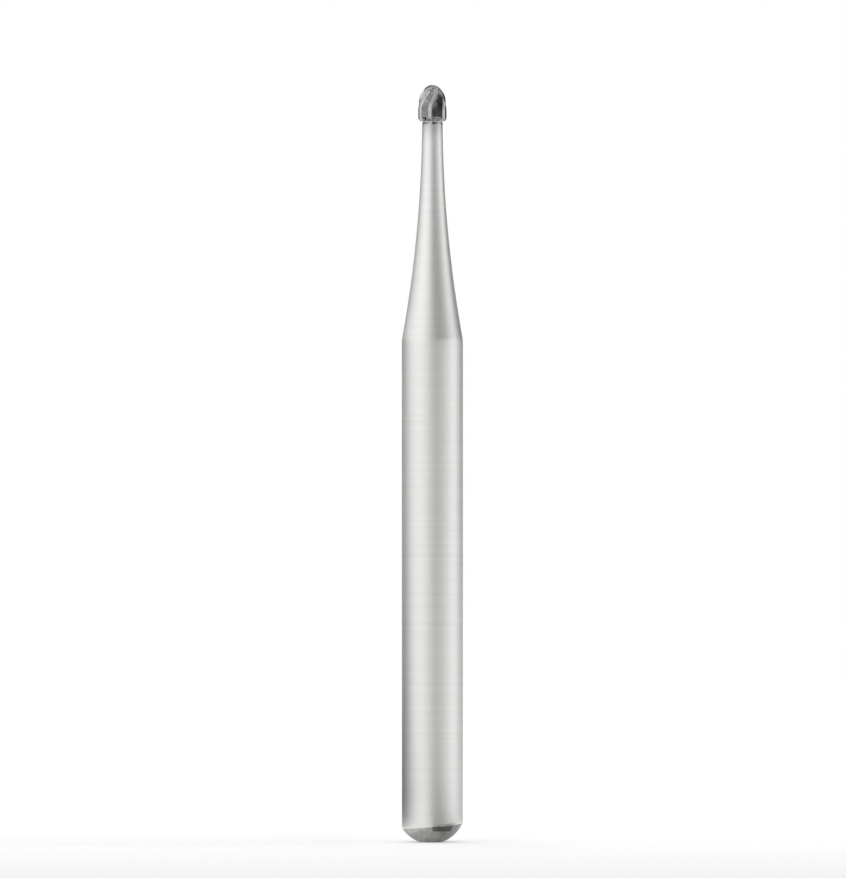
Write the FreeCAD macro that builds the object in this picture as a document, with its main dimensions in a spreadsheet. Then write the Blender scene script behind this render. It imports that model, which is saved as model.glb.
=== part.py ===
import FreeCAD, Part
import os
from math import asin, cos, hypot, pi, radians, sin, tan

import Sketcher
from FreeCAD import Placement, Rotation, Vector

# Dental bur: one solid, turned from one rod and then ground. The butt end stands on the origin, on
# the axis of the shank, and +Z runs to the tip. Lengths are in millimetres, angles in degrees.
doc = FreeCAD.newDocument("dental_bur")
sizes = doc.addObject("Spreadsheet::Sheet", "Sizes")

SIZES = [
    # The shank, gripped in the chuck
    ("overall_length", 19.82, "butt end to the very tip"),
    ("shank_diameter", 1.6, "plain friction grip shank"),
    ("shank_length", 13.14, "butt end to the shoulder of the taper"),
    ("end_flat_diameter", 0.6, "flat left in the middle of the domed end"),
    ("dome_height", 0.436, "height of the domed end"),
    ("dome_offset", 0.04, "how far the dome is ground off the axis, towards -X"),
    ("end_edge_radius", 0.05, "soft edge between the dome and the shank"),
    # The neck, which the hollow taper runs into
    ("neck_diameter", 0.533, "neck where the head stands on it"),
    ("neck_draft", 0.9, "half angle of the neck"),
    ("neck_length", 0.37, "from the head down to the start of the taper"),
    # The head, before its blades are ground
    ("head_diameter", 0.8, "head at its widest, over the cutting edges"),
    ("head_length", 0.95, "from the neck to the tip"),
    ("nose_length", 0.69, "rounded nose, half of an ellipsoid"),
    ("base_radius", 0.09, "rounding at the foot of the head"),
    # The blades, and the gashes ground between them
    ("blade_count", 6, "blades round the head"),
    ("land_width", 0.095, "back of each blade at the widest of the head"),
    ("land_relief", 0.02, "how far a land falls away behind its cutting edge"),
    ("margin_width", 0.012, "strip behind each cutting edge left at the full diameter"),
    ("rake_angle", 12, "how far a cutting face leans back from the radius"),
    ("core_diameter", 0.66, "core inside the gashes, round their roots"),
    ("core_drop", 0.62, "from the tip down to where the core begins to draw in"),
    ("web_diameter", 0.22, "core where the gashes end, close to the tip"),
    ("web_drop", 0.045, "from the tip down to where the gashes end"),
    ("blade_direction", -91, "direction of a cutting edge at the foot of the head, from +X"),
    ("twist_drop", 0.61, "from the tip down to where the blades begin to turn"),
    ("blade_twist", 54, "turn of a blade from there to the tip, right-handed"),
    ("gash_bend", 0.1, "softness of the bends in the path of a gash"),
    ("runout_length", 0.11, "from the foot of the head up to the full core"),
    ("ledge_width", 0.02, "step left between a gash and the neck at the foot of the head"),
]
for row, (name, number, note) in enumerate(SIZES, start=1):
    sizes.set(f"A{row}", name)
    sizes.set(f"B{row}", str(number))
    sizes.set(f"C{row}", note)
    sizes.setAlias(f"B{row}", name)
doc.recompute()

# Formulas that several features share
SHANK_RADIUS = "(Sizes.shank_diameter / 2)"
NECK_RADIUS = "(Sizes.neck_diameter / 2)"
HEAD_RADIUS = "(Sizes.head_diameter / 2)"
HEAD_BASE = "(Sizes.overall_length - Sizes.head_length)"
NOSE_BASE = "(Sizes.overall_length - Sizes.nose_length)"

body = doc.addObject("PartDesign::Body", "bur")
body.Label = "bur"
body.Placement = Placement(Vector(0, 0, 0), Rotation())


def size(name):
    return float(sizes.get(name))


def origin_feature(role):
    return next(feature for feature in body.Origin.OriginFeatures if feature.Role == role)


def new_sketch(role, name):
    sketch = body.newObject("Sketcher::SketchObject", name)
    sketch.AttachmentSupport = (origin_feature(role), [""])
    sketch.MapMode = "FlatFace"
    return sketch


# Points of a line or an arc, and the point where a sketch's axes cross
START, END, CENTRE = range(1, 4)
CROSSING = (-1, START)


def add_lines(sketch, corners):
    """Draws a chain of lines from corner to corner and returns them."""
    lines = []
    for first, second in zip(corners, corners[1:]):
        lines.append(sketch.addGeometry(Part.LineSegment(Vector(*first), Vector(*second)), False))
    for line, following in zip(lines, lines[1:]):
        join(sketch, line, END, following, START)
    return lines


def add_arc(sketch, centre, radius, start_angle, end_angle):
    circle = Part.Circle(Vector(*centre), Vector(0, 0, 1), radius)
    return sketch.addGeometry(Part.ArcOfCircle(circle, start_angle, end_angle), False)


def join(sketch, geometry, point, other, other_point, kind="Coincident"):
    sketch.addConstraint(Sketcher.Constraint(kind, geometry, point, other, other_point))


def place(sketch, geometry, point, name, across=None, up=None):
    """Ties a point to formulas of the sizes, measured from where the sketch's axes cross."""
    for kind, letter, formula in (("DistanceX", "x", across), ("DistanceY", "y", up)):
        if formula is None:
            continue
        value = float(sketch.evalExpression(formula))
        index = sketch.addConstraint(Sketcher.Constraint(kind, *CROSSING, geometry, point, value))
        sketch.renameConstraint(index, f"{name}_{letter}")
        sketch.setExpression(f"Constraints.{name}_{letter}", formula)


# Turned blank: shank, hollow taper, neck, and the head up to where its nose begins
def turned_blank():
    shank = size("shank_diameter") / 2
    neck = size("neck_diameter") / 2
    head = size("head_diameter") / 2
    shoulder = size("shank_length")
    head_base = size("overall_length") - size("head_length")
    nose_base = size("overall_length") - size("nose_length")
    rounding = size("base_radius")
    draft = radians(size("neck_draft"))
    neck_foot = head_base - size("neck_length")
    neck_foot_radius = neck + size("neck_length") * tan(draft)

    # The taper is one arc that leaves the neck with no corner and ends at the shoulder
    rise = shank - neck_foot_radius
    run = neck_foot - shoulder
    taper_radius = (rise**2 + run**2) / (2 * (rise * cos(draft) - run * sin(draft)))
    taper_centre = (neck_foot_radius + taper_radius * cos(draft), neck_foot + taper_radius * sin(draft))
    shoulder_angle = pi + asin((taper_centre[1] - shoulder) / taper_radius)

    sketch = new_sketch("XZ_Plane", "turned_profile")
    axis_line, end_line, shank_line = add_lines(
        sketch, [(0, nose_base), (0, 0), (shank, 0), (shank, shoulder)]
    )
    taper = add_arc(sketch, taper_centre, taper_radius, pi + draft, shoulder_angle)
    neck_line, foot_line = add_lines(
        sketch, [(neck_foot_radius, neck_foot), (neck, head_base), (head - rounding, head_base)]
    )
    foot_round = add_arc(sketch, (head - rounding, head_base + rounding), rounding, -pi / 2, 0)
    head_line, top_line = add_lines(
        sketch, [(head, head_base + rounding), (head, nose_base), (0, nose_base)]
    )

    join(sketch, taper, END, shank_line, END)
    join(sketch, taper, START, neck_line, START, "Tangent")
    join(sketch, foot_round, START, foot_line, END, "Tangent")
    join(sketch, foot_round, END, head_line, START, "Tangent")
    join(sketch, top_line, END, axis_line, START)
    join(sketch, axis_line, END, *CROSSING)
    for line in (axis_line, shank_line, head_line):
        sketch.addConstraint(Sketcher.Constraint("Vertical", line))
    for line in (end_line, foot_line, top_line):
        sketch.addConstraint(Sketcher.Constraint("Horizontal", line))

    neck_foot_formula = f"{NECK_RADIUS} + Sizes.neck_length * tan(Sizes.neck_draft)"
    place(sketch, shank_line, END, "shoulder", SHANK_RADIUS, "Sizes.shank_length")
    place(sketch, neck_line, START, "neck_foot", neck_foot_formula, f"{HEAD_BASE} - Sizes.neck_length")
    place(sketch, neck_line, END, "neck_top", NECK_RADIUS, HEAD_BASE)
    place(sketch, foot_line, END, "foot_round", f"{HEAD_RADIUS} - Sizes.base_radius")
    place(sketch, head_line, END, "nose_base", HEAD_RADIUS, NOSE_BASE)

    revolution = body.newObject("PartDesign::Revolution", "turned_blank")
    revolution.Profile = sketch
    revolution.ReferenceAxis = (sketch, ["V_Axis"])
    revolution.Angle = 360


# Rounded nose of the head, the upper half of an ellipsoid
def rounded_nose():
    nose = body.newObject("PartDesign::AdditiveEllipsoid", "rounded_nose")
    nose.AttachmentSupport = (origin_feature("XY_Plane"), [""])
    nose.MapMode = "FlatFace"
    nose.Angle1 = 0
    nose.Angle2 = 90
    nose.Angle3 = 360
    nose.setExpression("Radius1", "Sizes.nose_length")
    nose.setExpression("Radius2", HEAD_RADIUS)
    nose.setExpression("Radius3", HEAD_RADIUS)
    nose.setExpression("AttachmentOffset.Base.z", NOSE_BASE)


# Domed end of the shank, ground round a line that lies a little off the shank's axis. Past the
# shank's own radius the ground surface goes on straight, so that it clears the far side of the wall.
def domed_end():
    shank = size("shank_diameter") / 2
    flat = size("end_flat_diameter") / 2
    height = size("dome_height")
    middle = -size("dome_offset")
    outside = shank + 2 * size("dome_offset") + size("end_edge_radius")
    dome_centre = (shank**2 + height**2 - flat**2) / (2 * height)
    dome_radius = hypot(flat, dome_centre)
    slope = asin(shank / dome_radius)
    outer_height = height + (outside - middle - shank) * tan(slope)

    sketch = new_sketch("XZ_Plane", "dome_profile")
    axis_line = sketch.addGeometry(Part.LineSegment(Vector(middle, 0), Vector(middle, height)), True)
    flat_angle = asin(flat / dome_radius) - pi / 2
    dome = add_arc(sketch, (middle, dome_centre), dome_radius, flat_angle, slope - pi / 2)
    slope_line, outer_line, end_line = add_lines(
        sketch, [(middle + shank, height), (outside, outer_height), (outside, 0), (middle + flat, 0)]
    )

    for line in (axis_line, outer_line):
        sketch.addConstraint(Sketcher.Constraint("Vertical", line))
    sketch.addConstraint(Sketcher.Constraint("Horizontal", end_line))
    sketch.addConstraint(Sketcher.Constraint("PointOnObject", dome, CENTRE, axis_line))
    join(sketch, dome, END, slope_line, START, "Tangent")
    join(sketch, dome, START, end_line, END)

    outside_formula = f"{SHANK_RADIUS} + 2 * Sizes.dome_offset + Sizes.end_edge_radius"
    place(sketch, axis_line, START, "axis_foot", "-Sizes.dome_offset", "0")
    place(sketch, axis_line, END, "axis_top", None, "Sizes.dome_height")
    place(sketch, dome, START, "flat", "Sizes.end_flat_diameter / 2 - Sizes.dome_offset", "0")
    place(sketch, dome, END, "corner", f"{SHANK_RADIUS} - Sizes.dome_offset", "Sizes.dome_height")
    place(sketch, outer_line, START, "outside", outside_formula)

    groove = body.newObject("PartDesign::Groove", "domed_end")
    groove.Profile = sketch
    groove.ReferenceAxis = (sketch, ["Axis0"])
    groove.Angle = 360
    return groove


# Soft edge where the dome meets the wall of the shank
def soft_end_edge(groove):
    closeness = 1e-5

    def on_low_wall(point):
        on_wall = abs(hypot(point.x, point.y) - size("shank_diameter") / 2) < closeness
        return on_wall and point.z < size("shank_length") - closeness

    names = []
    for number, edge in enumerate(groove.Shape.Edges, start=1):
        middle = edge.valueAt((edge.FirstParameter + edge.LastParameter) / 2)
        points = [vertex.Point for vertex in edge.Vertexes] + [middle]
        if all(on_low_wall(point) for point in points):
            names.append(f"Edge{number}")
    fillet = body.newObject("PartDesign::Fillet", "soft_end_edge")
    fillet.Base = (groove, names)
    fillet.setExpression("Radius", "Sizes.end_edge_radius")


# One gash, lofted through sections that climb the head. In a section the cutting face starts from the
# edge on the sketch's X axis and leans back by the rake angle down to the root. The floor runs from
# the root to the heel of the next blade's land. That land rises from its heel to the margin, the strip
# of full diameter behind the next cutting edge. The sections follow the core up the nose and turn with
# the blade.
NOSE_SECTION_COUNT = 5
WHEEL_REACH = 1.5
PITCH = "(360 / Sizes.blade_count)"
LAND_ANGLE = f"(Sizes.land_width / {HEAD_RADIUS} * 180 / pi)"
MARGIN_ANGLE = f"(Sizes.margin_width / {HEAD_RADIUS} * 180 / pi)"
HEEL_SHARE = f"(1 - Sizes.land_relief / {HEAD_RADIUS})"
CORE_RADIUS = "(Sizes.core_diameter / 2)"
CORE_FOOT = f"({HEAD_BASE} + Sizes.runout_length)"
CORE_TOP = "(Sizes.overall_length - Sizes.core_drop)"
WEB_RADIUS = "(Sizes.web_diameter / 2)"
WEB_TOP = "(Sizes.overall_length - Sizes.web_drop)"
TWIST_START = "(Sizes.overall_length - Sizes.twist_drop)"


def soft_rise(distance):
    """Formula of a line that starts at zero and leaves the level in a soft bend."""
    return f"(({distance} + sqrt(({distance}) ^ 2 + Sizes.gash_bend ^ 2)) / 2)"


def core_radius(height):
    """Formula of the core's radius, which draws in along the nose to the web at the tip."""
    steepness = f"({CORE_RADIUS} - {WEB_RADIUS}) / ({WEB_TOP} - {CORE_TOP})"
    return f"({CORE_RADIUS} - {steepness} * {soft_rise(f'{height} - {CORE_TOP}')})"


def head_radius(height):
    """Formula of the radius of the head before grinding, with its foot left square."""
    climb = f"max(0; ({height} - {NOSE_BASE}) / Sizes.nose_length)"
    return f"({HEAD_RADIUS} * sqrt(1 - {climb} ^ 2))"


def gash_section(name, height, root, head):
    heel_across = f"({head} * {HEEL_SHARE} * cos({PITCH} - {LAND_ANGLE}))"
    heel_up = f"({head} * {HEEL_SHARE} * sin({PITCH} - {LAND_ANGLE}))"
    margin_across = f"({head} * cos({PITCH} - {MARGIN_ANGLE}))"
    margin_up = f"({head} * sin({PITCH} - {MARGIN_ANGLE}))"
    land_end_across = f"({heel_across} + {WHEEL_REACH} * ({margin_across} - {heel_across}))"
    land_end_up = f"({heel_up} + {WHEEL_REACH} * ({margin_up} - {heel_up}))"
    wheel_across = f"{WHEEL_REACH} * {HEAD_RADIUS}"
    corners = {
        "root": (root, f"({head} - {root}) * tan(Sizes.rake_angle)"),
        "face_end": (wheel_across, f"({head} - {wheel_across}) * tan(Sizes.rake_angle)"),
        "wheel_corner": (wheel_across, land_end_up),
        "land_end": (land_end_across, land_end_up),
        "heel": (heel_across, heel_up),
    }

    sketch = new_sketch("XY_Plane", name)
    sketch.AttachmentOffset = Placement(Vector(0, 0, 1), Rotation(Vector(0, 0, 1), 1))
    sketch.setExpression("AttachmentOffset.Base.z", height)
    twisted = soft_rise(f"{height} - {TWIST_START}")
    turn = f"Sizes.blade_direction + Sizes.blade_twist * {twisted} / Sizes.twist_drop"
    sketch.setExpression("AttachmentOffset.Rotation.Angle", turn)
    points = []
    for across, up in corners.values():
        points.append((float(sketch.evalExpression(across)), float(sketch.evalExpression(up))))
    lines = add_lines(sketch, points + points[:1])
    join(sketch, lines[-1], END, lines[0], START)
    for line, (label, (across, up)) in zip(lines, corners.items()):
        place(sketch, line, START, label, across, up)
    return sketch


def gash():
    # At the foot of the head a gash draws in towards the neck, but stays clear of it
    below = f"({HEAD_BASE} - Sizes.runout_length)"
    ledge_radius = f"({NECK_RADIUS} + Sizes.ledge_width)"
    sections = []
    for name, height in (("gash_below", below), ("gash_foot", HEAD_BASE)):
        sections.append(gash_section(name, height, ledge_radius, HEAD_RADIUS))

    climb = {"gash_core": CORE_FOOT}
    for number in range(NOSE_SECTION_COUNT + 1):
        share = number / NOSE_SECTION_COUNT
        climb[f"gash_nose_{number + 1}"] = f"({CORE_TOP} + {share} * ({WEB_TOP} - {CORE_TOP}))"
    for name, height in climb.items():
        sections.append(gash_section(name, height, core_radius(height), head_radius(height)))

    above = "(Sizes.overall_length + Sizes.web_drop)"
    sections.append(gash_section("gash_above", above, core_radius(WEB_TOP), head_radius(WEB_TOP)))

    loft = body.newObject("PartDesign::SubtractiveLoft", "gash")
    loft.Profile = sections[0]
    loft.Sections = sections[1:]
    return loft


# The same gash all round the head
def all_gashes(first_gash):
    pattern = body.newObject("PartDesign::PolarPattern", "all_gashes")
    pattern.Originals = [first_gash]
    pattern.Axis = (origin_feature("Z_Axis"), [""])
    pattern.Angle = 360
    pattern.setExpression("Occurrences", "Sizes.blade_count")
    body.Tip = pattern


turned_blank()
rounded_nose()
ground_end = domed_end()
doc.recompute()
soft_end_edge(ground_end)
all_gashes(gash())
doc.recompute()

for feature in doc.Objects:
    if "Invalid" in feature.State or "Error" in feature.State:
        raise RuntimeError(f"{feature.Name} failed: {feature.State}")
if body.Shape.isNull() or not body.Shape.isValid():
    raise RuntimeError("the bur is not a valid solid")
if len(body.Shape.Solids) != 1:
    raise RuntimeError(f"the bur is {len(body.Shape.Solids)} solids")

os.makedirs("parts", exist_ok=True)
body.Shape.exportStep(f"parts/{body.Label}.step")
print(f"{body.Label}: {body.Shape.Volume:.4f} cubic millimetres, {len(body.Shape.Faces)} faces")
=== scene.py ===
from math import asin, atan2, cos, hypot, pi, radians, sin, sqrt, tan

import bpy
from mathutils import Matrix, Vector


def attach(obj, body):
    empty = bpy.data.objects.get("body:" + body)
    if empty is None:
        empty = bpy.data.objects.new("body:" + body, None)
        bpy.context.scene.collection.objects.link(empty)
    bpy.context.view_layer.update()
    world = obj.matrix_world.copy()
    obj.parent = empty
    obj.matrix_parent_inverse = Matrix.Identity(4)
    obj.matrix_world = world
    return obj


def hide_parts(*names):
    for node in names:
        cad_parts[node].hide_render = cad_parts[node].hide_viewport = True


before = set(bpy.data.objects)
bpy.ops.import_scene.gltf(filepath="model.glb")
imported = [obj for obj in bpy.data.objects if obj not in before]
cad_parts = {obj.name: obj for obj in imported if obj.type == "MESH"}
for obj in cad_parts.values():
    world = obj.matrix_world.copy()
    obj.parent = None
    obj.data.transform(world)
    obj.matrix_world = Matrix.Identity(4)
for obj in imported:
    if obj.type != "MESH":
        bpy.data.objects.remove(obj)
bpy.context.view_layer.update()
bpy.ops.object.select_all(action="DESELECT")


# The shank, the hollow taper and the neck are turned from one steel rod and finely ground. The rod is
# drawn in millimetres, from the flat of its domed butt end upwards, ring after ring.
RING_POINTS = 192
SHANK_RADIUS = 0.8
FLAT_RADIUS = 0.3
DOME_HEIGHT = 0.436
DOME_OFFSET = 0.04
SHOULDER = 13.14
NECK_FOOT = 18.5
NECK_TOP = 18.87
NECK_RADIUS = 0.2665
NECK_DRAFT = radians(0.9)
ROD_END = 18.75
WALL_FOOT = 0.75
TOLERANCE = 1e-4
MILLIMETRE = 0.001


def neck_radius(height):
    return NECK_RADIUS + (NECK_TOP - height) * tan(NECK_DRAFT)


# Rings of the dome, which is ground round a line a little to the left of the shank's own axis
dome_centre = (SHANK_RADIUS**2 + DOME_HEIGHT**2 - FLAT_RADIUS**2) / (2 * DOME_HEIGHT)
dome_radius = hypot(FLAT_RADIUS, dome_centre)
DOME_RINGS = 14


def dome_height(across, away):
    """Height of the dome under a point, measured from the dome's own axis."""
    return dome_centre - sqrt(dome_radius**2 - (across + DOME_OFFSET) ** 2 - away**2)


rings = []
for number in range(DOME_RINGS + 1):
    share = number / DOME_RINGS
    radius = FLAT_RADIUS + (SHANK_RADIUS - FLAT_RADIUS) * share
    rings.append((DOME_OFFSET * (share - 1), radius, DOME_HEIGHT * share))

# Rings of the plain shank, then of the taper, which is one arc that runs into the neck
WALL_RINGS = 16
for number in range(WALL_RINGS):
    rings.append((0, SHANK_RADIUS, WALL_FOOT + (SHOULDER - WALL_FOOT) * number / WALL_RINGS))
taper_rise = SHANK_RADIUS - neck_radius(NECK_FOOT)
taper_run = NECK_FOOT - SHOULDER
taper_bend = 2 * (taper_rise * cos(NECK_DRAFT) - taper_run * sin(NECK_DRAFT))
taper_radius = (taper_rise**2 + taper_run**2) / taper_bend
taper_across = neck_radius(NECK_FOOT) + taper_radius * cos(NECK_DRAFT)
taper_up = NECK_FOOT + taper_radius * sin(NECK_DRAFT)
shoulder_slope = asin((taper_up - SHOULDER) / taper_radius)
TAPER_RINGS = 36
for number in range(TAPER_RINGS + 1):
    slope = shoulder_slope + (NECK_DRAFT - shoulder_slope) * number / TAPER_RINGS
    rings.append((0, taper_across - taper_radius * cos(slope), taper_up - taper_radius * sin(slope)))
NECK_RINGS = 5
for number in range(1, NECK_RINGS + 1):
    height = NECK_FOOT + (ROD_END - NECK_FOOT) * number / NECK_RINGS
    rings.append((0, neck_radius(height), height))

bpy.ops.mesh.primitive_circle_add(
    vertices=RING_POINTS, radius=FLAT_RADIUS, fill_type="NGON", location=(-DOME_OFFSET, 0, 0)
)
bur = bpy.context.object
bur.name = "bur_ground"
bpy.ops.object.transform_apply(location=True, rotation=True, scale=True)
bpy.ops.object.mode_set(mode="EDIT")
bpy.ops.mesh.select_all(action="SELECT")
for (middle, radius, height), (next_middle, next_radius, next_height) in zip(rings, rings[1:]):
    move = (next_middle - middle, 0, next_height - height)
    ratio = next_radius / radius
    bpy.ops.mesh.extrude_region_move(TRANSFORM_OT_translate={"value": move})
    bpy.ops.transform.resize(value=(ratio, ratio, 1), center_override=(next_middle, 0, next_height))
bpy.ops.mesh.delete(type="ONLY_FACE")
bpy.ops.object.mode_set(mode="OBJECT")

# The rings of the dome are set down on it, and then its rim and the shoulder are made a little soft
RIM_SOFTNESS = 0.04
SHOULDER_SOFTNESS = 0.06
RING_REACH = 0.1
for vertex in bur.data.vertices:
    if vertex.co.z < DOME_HEIGHT + TOLERANCE:
        vertex.co.z = max(0, dome_height(vertex.co.x, vertex.co.y))


def soften_ring(lowest, highest, softness, segments):
    """Bevels the one ring on the wall of the shank that lies between two heights."""
    bpy.ops.object.mode_set(mode="EDIT")
    bpy.ops.mesh.select_mode(type="VERT")
    bpy.ops.mesh.select_all(action="DESELECT")
    bpy.ops.object.mode_set(mode="OBJECT")
    for vertex in bur.data.vertices:
        on_wall = hypot(vertex.co.x, vertex.co.y) > SHANK_RADIUS - TOLERANCE
        vertex.select = on_wall and lowest < vertex.co.z < highest
    bpy.ops.object.mode_set(mode="EDIT")
    bpy.ops.mesh.bevel(offset=softness, segments=segments, affect="EDGES")
    bpy.ops.object.mode_set(mode="OBJECT")


soften_ring(SHOULDER - RING_REACH, SHOULDER + RING_REACH, SHOULDER_SOFTNESS, 3)
soften_ring(0, WALL_FOOT - RING_REACH, RIM_SOFTNESS, 4)

# The head stands on the neck. Six gashes are ground into the steel along right-handed blades: each has
# a cutting face, which leans back more on the nose, a floor, and the land of the next blade. The head
# is made as a sheet that is rolled round the axis.
TIP = 19.82
HEAD_RADIUS = 0.4
NOSE_BASE = 19.13
NOSE_LENGTH = 0.69
FOOT_ROUND = 0.09
BLADES = 6
PITCH = 2 * pi / BLADES
BARREL_LAND = 0.095
NOSE_LAND = 0.125
LAND_RELIEF = 0.02
MARGIN_WIDTH = 0.012
BARREL_RAKE = radians(9)
NOSE_RAKE = radians(32)
NOSE_FORM_FOOT = 19.2
NOSE_FORM_TOP = 19.42
CAP_FOOT = 19.73
CORE_RADIUS = 0.33
CORE_FOOT = 18.98
CORE_TOP = 19.44
CORE_TAPER = 0.45
CORE_BEND = 0.1
RUNOUT_FOOT = 18.77
RUNOUT_DEPTH = 0.02
BLADE_DIRECTION = radians(-93.5)
TWIST_START = 19.245
TWIST_RATE = radians(95)
TWIST_BEND = 0.05
STEPS = RING_POINTS // BLADES
FACE_STEPS = 6
FLOOR_STEPS = 16
LAND_STEPS = STEPS - FACE_STEPS - FLOOR_STEPS
FACE_REACH = 1.2
FLOOR_REACH = 1.6
HALVINGS = 40
LAST_LEAN = radians(86)
STEEL, LAND, GASH, CUTTING_FACE = range(4)


def soft_rise(distance, bend):
    """A line that starts at zero and leaves the level in a soft bend."""
    return (distance + sqrt(distance**2 + bend**2)) / 2


def smooth_share(height, foot, top):
    """Runs from 0 at the foot to 1 at the top, with no corner at either end."""
    share = max(0, min(1, (height - foot) / (top - foot)))
    return share**2 * (3 - 2 * share)


def blade_turn(height):
    return BLADE_DIRECTION + TWIST_RATE * soft_rise(height - TWIST_START, TWIST_BEND)


def root_radius(height):
    """Distance along the blade's own radius to the corner at the bottom of a gash."""
    if height < NECK_TOP:
        return neck_radius(height) - RUNOUT_DEPTH * (height - RUNOUT_FOOT) / (NECK_TOP - RUNOUT_FOOT)
    core = CORE_RADIUS - CORE_TAPER * soft_rise(height - CORE_TOP, CORE_BEND)
    foot = NECK_RADIUS - RUNOUT_DEPTH
    return foot + (core - foot) * smooth_share(height, NECK_TOP, CORE_FOOT)


def rake(height):
    """How far a cutting face leans back from the radius: more on the nose than on the barrel."""
    return BARREL_RAKE + (NOSE_RAKE - BARREL_RAKE) * smooth_share(height, NOSE_FORM_FOOT, NOSE_FORM_TOP)


def full_radius(height):
    """Radius of the head before grinding, with its foot left square."""
    climb = max(0, min(1, (height - NOSE_BASE) / NOSE_LENGTH))
    return HEAD_RADIUS * sqrt(1 - climb**2)


def blade_section(height, outside):
    """Points round one ring of the head: for each blade a cutting face, a gash floor and a land."""
    root = root_radius(height)
    full = full_radius(height)
    nose_share = smooth_share(height, NOSE_FORM_FOOT, NOSE_FORM_TOP)
    land_width = BARREL_LAND + (NOSE_LAND - BARREL_LAND) * nose_share
    land_angle = land_width / full
    margin_angle = MARGIN_WIDTH / HEAD_RADIUS
    relief = outside * LAND_RELIEF / HEAD_RADIUS
    heel = full - full * LAND_RELIEF / HEAD_RADIUS
    corner = Vector((root, (full - root) * tan(rake(height))))
    heel = heel * Vector((cos(PITCH - land_angle), sin(PITCH - land_angle)))

    def land_radius(angle):
        share = (PITCH - margin_angle - angle) / (land_angle - margin_angle)
        return outside - relief * max(0, min(1, share))

    def inside(point):
        return point.length < land_radius(atan2(point.y, point.x))

    def last_inside(first, last):
        """Point of a line at which it leaves the metal, found by halving."""
        low, high = 0, 1
        for _ in range(HALVINGS):
            middle = (low + high) / 2
            if inside(first.lerp(last, middle)):
                low = middle
            else:
                high = middle
        return first.lerp(last, low)

    if not inside(corner):
        return round_section(outside)
    face_end = last_inside(corner, corner + FACE_REACH * (Vector((full, 0)) - corner))
    floor_end = last_inside(corner, corner + FLOOR_REACH * (heel - corner))
    points = [face_end.lerp(corner, step / FACE_STEPS) for step in range(FACE_STEPS)]
    points += [corner.lerp(floor_end, step / FLOOR_STEPS) for step in range(FLOOR_STEPS)]
    start_angle = atan2(floor_end.y, floor_end.x)
    end_angle = PITCH + atan2(face_end.y, face_end.x)
    for step in range(LAND_STEPS):
        angle = start_angle + (end_angle - start_angle) * step / LAND_STEPS
        points.append(land_radius(angle) * Vector((cos(angle), sin(angle))))
    return points


def round_section(outside):
    """Even points on a plain circle, where no gash is ground."""
    angles = [PITCH * step / STEPS for step in range(STEPS)]
    return [outside * Vector((cos(angle), sin(angle))) for angle in angles]


head_rows = []


def add_row(height, section, turn):
    row = []
    for column in range(RING_POINTS + 1):
        blade, step = divmod(column % RING_POINTS, STEPS)
        point = section[step]
        angle = turn + blade * PITCH
        across = point.x * cos(angle) - point.y * sin(angle)
        away = point.x * sin(angle) + point.y * cos(angle)
        row.append((across, away, height))
    head_rows.append(row)


# The first row lies on the rod's last ring, point on point, and the gashes run out above it in small
# nicks at the top of the neck
even_turn = 2 * pi / RING_POINTS * round(BLADE_DIRECTION / (2 * pi / RING_POINTS))
add_row(ROD_END, round_section(neck_radius(ROD_END)), even_turn)
RUNOUT_ROWS = 8
for number in range(1, RUNOUT_ROWS + 1):
    height = RUNOUT_FOOT + (NECK_TOP - RUNOUT_FOOT) * number / RUNOUT_ROWS
    add_row(height, blade_section(height, neck_radius(height)), BLADE_DIRECTION)
FOOT_ROWS = 14
for number in range(FOOT_ROWS + 1):
    lean = pi / 2 * number / FOOT_ROWS
    height = NECK_TOP + FOOT_ROUND * (1 - cos(lean))
    outside = HEAD_RADIUS - FOOT_ROUND * (1 - sin(lean))
    add_row(height, blade_section(height, outside), blade_turn(height))

BARREL_ROWS = 10
for number in range(1, BARREL_ROWS + 1):
    height = NECK_TOP + FOOT_ROUND + (NOSE_BASE - NECK_TOP - FOOT_ROUND) * number / BARREL_ROWS
    add_row(height, blade_section(height, HEAD_RADIUS), blade_turn(height))

NOSE_ROWS = 36
for number in range(1, NOSE_ROWS + 1):
    lean = LAST_LEAN * number / NOSE_ROWS
    height = NOSE_BASE + NOSE_LENGTH * sin(lean)
    outside = HEAD_RADIUS * cos(lean)
    add_row(height, blade_section(height, outside), blade_turn(height))
add_row(TIP, [Vector((0, 0))] * STEPS, blade_turn(TIP))

bpy.ops.mesh.primitive_grid_add(
    x_subdivisions=RING_POINTS, y_subdivisions=len(head_rows) - 1, size=1, location=(0, 0, 0)
)
head = bpy.context.object
points = [point for row in head_rows for point in row]
for vertex, point in zip(head.data.vertices, points):
    vertex.co = point

for face in head.data.polygons:
    row, column = divmod(face.index, RING_POINTS)
    step = column % STEPS
    if head_rows[row][0][2] > CAP_FOOT:
        face.material_index = GASH
    elif row == 0 or (row <= RUNOUT_ROWS and step >= FACE_STEPS + FLOOR_STEPS):
        face.material_index = STEEL
    elif step < FACE_STEPS:
        face.material_index = CUTTING_FACE
    elif step < FACE_STEPS + FLOOR_STEPS:
        face.material_index = GASH
    else:
        face.material_index = LAND

bpy.ops.object.select_all(action="DESELECT")


# Finishes
def new_material(name):
    material = bpy.data.materials.new(name)
    material.use_nodes = True
    return material, material.node_tree.nodes, material.node_tree.links


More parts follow.
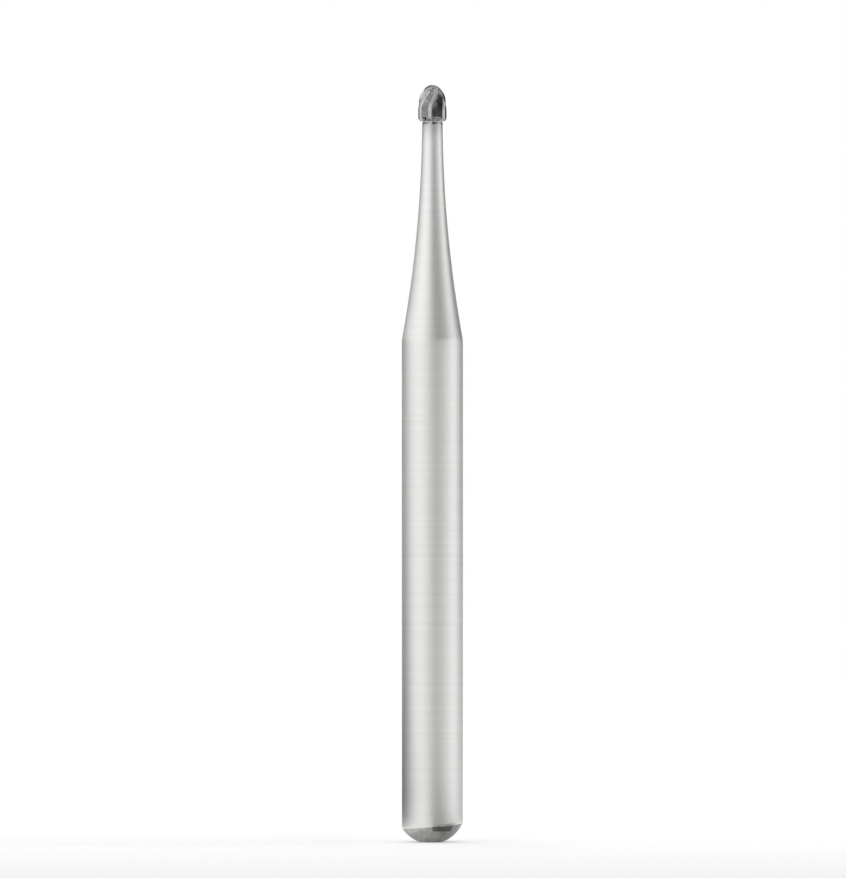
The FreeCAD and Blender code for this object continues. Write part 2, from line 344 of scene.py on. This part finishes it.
def metal(name, dark, light, rough_low, rough_high, scale, stretch, bump):
    material, nodes, links = new_material(name)
    shader = nodes["Principled BSDF"]
    shader.inputs["Metallic"].default_value = 1.0
    place = nodes.new("ShaderNodeTexCoord")
    mapping = nodes.new("ShaderNodeMapping")
    mapping.inputs["Scale"].default_value = stretch
    links.new(place.outputs["Object"], mapping.inputs["Vector"])
    noise = nodes.new("ShaderNodeTexNoise")
    noise.inputs["Scale"].default_value = scale
    noise.inputs["Detail"].default_value = 6
    links.new(mapping.outputs["Vector"], noise.inputs["Vector"])
    ramp = nodes.new("ShaderNodeValToRGB")
    ramp.color_ramp.elements[0].position = 0.35
    ramp.color_ramp.elements[0].color = (*dark, 1)
    ramp.color_ramp.elements[1].position = 0.65
    ramp.color_ramp.elements[1].color = (*light, 1)
    links.new(noise.outputs["Fac"], ramp.inputs["Fac"])
    links.new(ramp.outputs["Color"], shader.inputs["Base Color"])
    spread = nodes.new("ShaderNodeMapRange")
    spread.inputs["To Min"].default_value = rough_low
    spread.inputs["To Max"].default_value = rough_high
    links.new(noise.outputs["Fac"], spread.inputs["Value"])
    links.new(spread.outputs["Result"], shader.inputs["Roughness"])
    relief = nodes.new("ShaderNodeBump")
    relief.inputs["Strength"].default_value = bump
    relief.inputs["Distance"].default_value = 0.00001
    links.new(noise.outputs["Fac"], relief.inputs["Height"])
    links.new(relief.outputs["Normal"], shader.inputs["Normal"])
    return material


def paint_shade_along(material, axis, start, end, darkness):
    """Paints shade into a finish, darker from one place on an axis to another."""
    nodes, links = material.node_tree.nodes, material.node_tree.links
    shader = nodes["Principled BSDF"]
    place = nodes.new("ShaderNodeTexCoord")
    parts = nodes.new("ShaderNodeSeparateXYZ")
    links.new(place.outputs["Object"], parts.inputs["Vector"])
    spread = nodes.new("ShaderNodeMapRange")
    spread.interpolation_type = "SMOOTHSTEP"
    spread.inputs["From Min"].default_value = start
    spread.inputs["From Max"].default_value = end
    spread.inputs["To Min"].default_value = 1
    spread.inputs["To Max"].default_value = 1 - darkness
    links.new(parts.outputs[axis], spread.inputs["Value"])
    product = nodes.new("ShaderNodeVectorMath")
    product.operation = "SCALE"
    links.new(shader.inputs["Base Color"].links[0].from_socket, product.inputs["Vector"])
    links.new(spread.outputs["Result"], product.inputs["Scale"])
    links.new(product.outputs["Vector"], shader.inputs["Base Color"])


steel = metal("ground_steel", (0.76, 0.755, 0.74), (0.8, 0.795, 0.78), 0.46, 0.52, 9000, (0.02, 0.02, 1), 0.1)
# Painted shade: the top of the neck is darkened towards the head, where the head shades it.
paint_shade_along(steel, "Z", 0.0183, 0.0189, 0.3)
dome_steel = metal("domed_end", (0.36, 0.36, 0.35), (0.58, 0.58, 0.56), 0.35, 0.45, 5000, (1, 1, 1), 0.3)
# Painted shade: the domed end is darkened towards its right side.
paint_shade_along(dome_steel, "X", -0.0003, 0.0002, 0.4)
land_steel = metal("ground_land", (0.34, 0.34, 0.34), (0.39, 0.39, 0.39), 0.24, 0.3, 9000, (1, 1, 1), 0.05)
gash_steel = metal("ground_gash", (0.18, 0.18, 0.18), (0.3, 0.3, 0.3), 0.18, 0.26, 14000, (1, 1, 1), 0.1)
face_steel = metal("cutting_face", (0.66, 0.66, 0.66), (0.72, 0.72, 0.72), 0.18, 0.24, 9000, (1, 1, 1), 0.05)
DOME_FACING = 0.4
MERGE_DISTANCE = 1e-5
SMOOTH_ANGLE = radians(15)
bur.data.materials.append(steel)
bur.data.materials.append(dome_steel)
for face in bur.data.polygons:
    on_dome = face.center.z < WALL_FOOT and abs(face.normal.z) > DOME_FACING
    face.material_index = 1 if on_dome else 0
for material in (steel, land_steel, gash_steel, face_steel):
    head.data.materials.append(material)

head.select_set(True)
bur.select_set(True)
bpy.context.view_layer.objects.active = bur
bpy.ops.object.join()
bpy.ops.object.mode_set(mode="EDIT")
bpy.ops.mesh.select_all(action="SELECT")
bpy.ops.mesh.remove_doubles(threshold=MERGE_DISTANCE)
bpy.ops.mesh.normals_make_consistent(inside=False)
bpy.ops.object.mode_set(mode="OBJECT")
bur.scale = (MILLIMETRE, MILLIMETRE, MILLIMETRE)
bpy.ops.object.transform_apply(location=True, rotation=True, scale=True)
bpy.ops.object.shade_smooth_by_angle(angle=SMOOTH_ANGLE)
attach(bur, "root")
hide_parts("bur")

# Studio: white world and floor, standing and lying cards that only the steel sees, and two soft lamps
scene = bpy.context.scene
scene.view_settings.view_transform = "Standard"

world = bpy.data.worlds.new("white_studio")
scene.world = world
world.use_nodes = True
background = world.node_tree.nodes["Background"]
background.inputs["Color"].default_value = (1, 1, 1, 1)
background.inputs["Strength"].default_value = 1.0

bpy.ops.mesh.primitive_plane_add(size=0.6, location=(0, 0, 0))
floor = bpy.context.object
floor.name = "floor"
floor_material, nodes, links = new_material("white_floor")
shader = nodes["Principled BSDF"]
shader.inputs["Base Color"].default_value = (0.7, 0.7, 0.7, 1)
shader.inputs["Roughness"].default_value = 1.0

# A glow that only the camera and the steel see makes the floor white, and fades towards the camera
path = nodes.new("ShaderNodeLightPath")
seen = path.outputs["Is Camera Ray"]
for ray in ("Is Glossy Ray", "Is Transmission Ray"):
    either = nodes.new("ShaderNodeMath")
    either.operation = "MAXIMUM"
    links.new(seen, either.inputs[0])
    links.new(path.outputs[ray], either.inputs[1])
    seen = either.outputs["Value"]
place = nodes.new("ShaderNodeTexCoord")
parts = nodes.new("ShaderNodeSeparateXYZ")
links.new(place.outputs["Object"], parts.inputs["Vector"])
fade = nodes.new("ShaderNodeMapRange")
fade.inputs["From Min"].default_value = -0.024
fade.inputs["From Max"].default_value = 0.008
fade.inputs["To Min"].default_value = 0.16
fade.inputs["To Max"].default_value = 0.335
links.new(parts.outputs["Y"], fade.inputs["Value"])
glow_level = nodes.new("ShaderNodeMath")
glow_level.operation = "MULTIPLY"
links.new(seen, glow_level.inputs[0])
links.new(fade.outputs["Result"], glow_level.inputs[1])
glow = nodes.new("ShaderNodeEmission")
links.new(glow_level.outputs["Value"], glow.inputs["Strength"])
both = nodes.new("ShaderNodeAddShader")
links.new(shader.outputs["BSDF"], both.inputs[0])
links.new(glow.outputs["Emission"], both.inputs[1])
links.new(both.outputs["Shader"], nodes["Material Output"].inputs["Surface"])
floor.data.materials.append(floor_material)


CARD_LIFT = 0.0003
LAMP_UP = 0.01


def finish_card(made, name, shade):
    """A card is seen in the steel, but neither by the camera nor as a shadow."""
    made.name = name
    material, nodes, links = new_material(name)
    nodes.remove(nodes["Principled BSDF"])
    glow = nodes.new("ShaderNodeEmission")
    glow.inputs["Color"].default_value = (1, 1, 1, 1)
    glow.inputs["Strength"].default_value = shade
    links.new(glow.outputs["Emission"], nodes["Material Output"].inputs["Surface"])
    made.data.materials.append(material)
    made.visible_camera = False
    made.visible_diffuse = False
    made.visible_shadow = False


def card(name, azimuth, distance, width, bottom, top, shade):
    """A standing card at an angle round the object, 0 on the camera's side and 90 on the right."""
    angle = radians(azimuth)
    bpy.ops.mesh.primitive_plane_add(size=1, location=(0, 0, 0))
    made = bpy.context.object
    made.scale = (width, top - bottom, 1)
    made.rotation_euler = (pi / 2, 0, angle)
    made.location = (distance * sin(angle), -distance * cos(angle), (bottom + top) / 2)
    bpy.ops.object.transform_apply(location=True, rotation=True, scale=True)
    finish_card(made, name, shade)


card("front_card", 9.5, 0.2, 0.118, -0.4, 0.13, 0.03)
card("high_right_card", 48, 0.2, 0.336, 0.04, 0.24, 0.06)
card("left_back_card", -143, 0.2, 0.30, -0.4, 0.25, 0)
card("right_back_card", 145, 0.2, 0.30, -0.4, 0.16, 0.03)
card("left_back_light", -128, 0.19, 0.16, 0.05, 0.25, 1.4)


def lying_card(name, left, right, near, far, shade):
    """A card on the floor, between two places across and two places from near to far."""
    bpy.ops.mesh.primitive_plane_add(size=1, location=(0, 0, 0))
    made = bpy.context.object
    made.scale = (right - left, far - near, 1)
    made.location = ((left + right) / 2, (near + far) / 2, CARD_LIFT)
    bpy.ops.object.transform_apply(location=True, rotation=True, scale=True)
    finish_card(made, name, shade)


lying_card("low_left_card", -0.06, -0.002, -0.003, 0.04, 0)
lying_card("low_front_card", 0, 0.003, -0.006, -0.0005, 0.3)


def lamp(name, azimuth, distance, width, height, radiance):
    angle = radians(azimuth)
    data = bpy.data.lights.new(name, "AREA")
    data.shape = "RECTANGLE"
    data.size = width
    data.size_y = height
    data.energy = radiance * pi * width * height
    made = bpy.data.objects.new(name, data)
    scene.collection.objects.link(made)
    made.location = (distance * sin(angle), -distance * cos(angle), LAMP_UP)
    made.rotation_euler = (pi / 2, 0, angle)
    made.visible_camera = False


lamp("left_softbox", -54, 0.2, 0.2, 0.2, 0.45)
lamp("right_softbox", 78, 0.2, 0.16, 0.2, 0.8)

# Camera: level, at the height of the middle of the frame
FRAME_HEIGHT = 0.02299
LENS = 400
SENSOR_WIDTH = 36
CAMERA_ACROSS = -0.000246
CAMERA_UP = 0.01055
camera_data = bpy.data.cameras.new("camera")
camera_data.lens = LENS
camera_data.sensor_width = SENSOR_WIDTH
camera_data.clip_start = 0.001
camera_data.clip_end = 5
camera = bpy.data.objects.new("camera", camera_data)
scene.collection.objects.link(camera)
camera.location = (CAMERA_ACROSS, -FRAME_HEIGHT * LENS / SENSOR_WIDTH, CAMERA_UP)
camera.rotation_euler = (pi / 2, 0, 0)
scene.camera = camera
